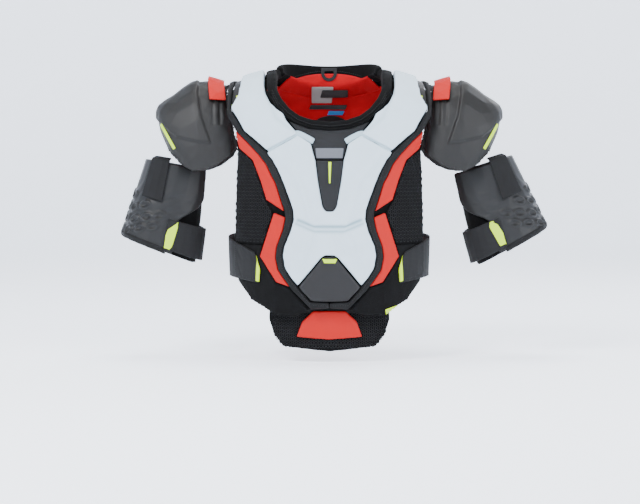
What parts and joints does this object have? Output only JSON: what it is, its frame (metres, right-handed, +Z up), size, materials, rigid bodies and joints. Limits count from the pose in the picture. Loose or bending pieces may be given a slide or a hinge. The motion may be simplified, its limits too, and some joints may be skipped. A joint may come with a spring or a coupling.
{
  "type": "ice hockey shoulder pads",
  "caption": "Hockey shoulder pads: moulded chest and back panels, domed shoulder caps, upper-arm guards with hook straps and a drop-down belly pad.",
  "frame": {"origin": "middle of the line between the two shoulders the pads rest on", "axes": "+Z up, -Y the chest side, +X the wearer's left"},
  "size_m": [0.7449, 0.276, 0.4947],
  "materials": {
    "ice": "matte",
    "black": "matte",
    "charcoal": "satin",
    "red": "matte",
    "liner": "matte",
    "webbing": "matte",
    "grey": "matte"
  },
  "bodies": {
    "back": {"back_carrier": "black", "back_liner": "liner", "spine_plate": "ice", "lower_back_pad": "black", "size_label": "grey", "collar_back": "black", "yoke_rear_left": "ice", "yoke_rear_right": "ice", "scapula_pad_left": "charcoal", "scapula_pad_right": "charcoal", "shoulder_web_left": "webbing", "shoulder_web_right": "webbing", "waist_elastic_left": "webbing", "waist_elastic_right": "webbing"},
    "chest": {"chest_carrier": "black", "chest_liner": "liner", "collar_front": "black", "chest_plate": "ice", "sternum_insert": "charcoal", "neck_bib": "charcoal", "belly_plate": "charcoal", "belly_pad_tab": "webbing", "yoke_front_left": "ice", "yoke_front_right": "ice", "yoke_tab_left": "charcoal", "yoke_tab_right": "charcoal", "chest_binding_left": "webbing", "chest_binding_right": "webbing", "trim_upper_left": "red", "trim_upper_right": "red", "trim_lower_left": "red", "trim_lower_right": "red", "side_mesh_left": "black", "side_mesh_right": "black", "side_wing_left": "black", "side_wing_right": "black"},
    "belly_pad": {"belly_pad": "black", "belly_band": "red"},
    "hang_loop": {"hang_loop": "webbing"},
    "cap_left": {"cap_shell_left": "charcoal", "cap_liner_left": "liner", "cap_link_left": "red"},
    "arm_swivel_left": {"strap_anchor_left": "webbing"},
    "arm_left": {"arm_shell_left": "charcoal", "arm_liner_left": "black", "arm_strap_left": "webbing", "arm_hanger_left": "webbing"},
    "arm_tab_left": {"arm_tab_left": "webbing"},
    "waist_tab_left": {"waist_tab_left": "webbing"},
    "cap_right": {"cap_shell_right": "charcoal", "cap_liner_right": "liner", "cap_link_right": "red"},
    "arm_swivel_right": {"strap_anchor_right": "webbing"},
    "arm_right": {"arm_shell_right": "charcoal", "arm_liner_right": "black", "arm_strap_right": "webbing", "arm_hanger_right": "webbing"},
    "arm_tab_right": {"arm_tab_right": "webbing"},
    "waist_tab_right": {"waist_tab_right": "webbing"}
  },
  "joints": [
    {"name": "chest_flex", "type": "hinge", "parent": "back", "child": "chest", "pos_m": [0, 0, 0.008], "axis": [-1, 0, 0], "range_deg": [-2, 12], "stiffness_Nm_per_rad": 48, "deforming": ["waist_elastic_left", "waist_elastic_right"]},
    {"name": "cap_lift_left", "type": "hinge", "parent": "back", "child": "cap_left", "pos_m": [0.176, 0, -0.004], "axis": [0, -1, 0], "range_deg": [0, 35]},
    {"name": "arm_lift_left", "type": "hinge", "parent": "cap_left", "child": "arm_swivel_left", "pos_m": [0.272, 0, -0.131], "axis": [0, -1, 0], "range_deg": [-10, 25]},
    {"name": "arm_swing_left", "type": "hinge", "parent": "arm_swivel_left", "child": "arm_left", "pos_m": [0.272, 0, -0.131], "axis": [1, 0, 0], "range_deg": [-8, 8]},
    {"name": "arm_tab_peel_left", "type": "hinge", "parent": "arm_left", "child": "arm_tab_left", "pos_m": [0.2409, -0.01491, -0.29041], "axis": [0.309, 0, -0.9511], "range_deg": [0, 60]},
    {"name": "waist_tab_peel_left", "type": "hinge", "parent": "chest", "child": "waist_tab_left", "pos_m": [0.16943, -0.04256, -0.30597], "axis": [0, 0, 1], "range_deg": [0, 60]},
    {"name": "cap_lift_right", "type": "hinge", "parent": "back", "child": "cap_right", "pos_m": [-0.176, 0, -0.004], "axis": [0, 1, 0], "range_deg": [0, 35]},
    {"name": "arm_lift_right", "type": "hinge", "parent": "cap_right", "child": "arm_swivel_right", "pos_m": [-0.272, 0, -0.131], "axis": [0, 1, 0], "range_deg": [-10, 25]},
    {"name": "arm_swing_right", "type": "hinge", "parent": "arm_swivel_right", "child": "arm_right", "pos_m": [-0.272, 0, -0.131], "axis": [1, 0, 0], "range_deg": [-8, 8]},
    {"name": "arm_tab_peel_right", "type": "hinge", "parent": "arm_right", "child": "arm_tab_right", "pos_m": [-0.21901, -0.01491, -0.28453], "axis": [0.1736, 0, 0.9848], "range_deg": [0, 60]},
    {"name": "waist_tab_peel_right", "type": "hinge", "parent": "chest", "child": "waist_tab_right", "pos_m": [-0.17033, -0.04261, -0.29124], "axis": [0, 0, -1], "range_deg": [0, 60]},
    {"name": "belly_pad_flap", "type": "hinge", "parent": "chest", "child": "belly_pad", "pos_m": [0, -0.09973, -0.3855], "axis": [-1, 0, 0], "range_deg": [-5, 30]},
    {"name": "hang_loop_swing", "type": "hinge", "parent": "back", "child": "hang_loop", "pos_m": [0, 0.0492, 0.03], "axis": [-1, 0, 0], "range_deg": [0, 70]}
  ]
}
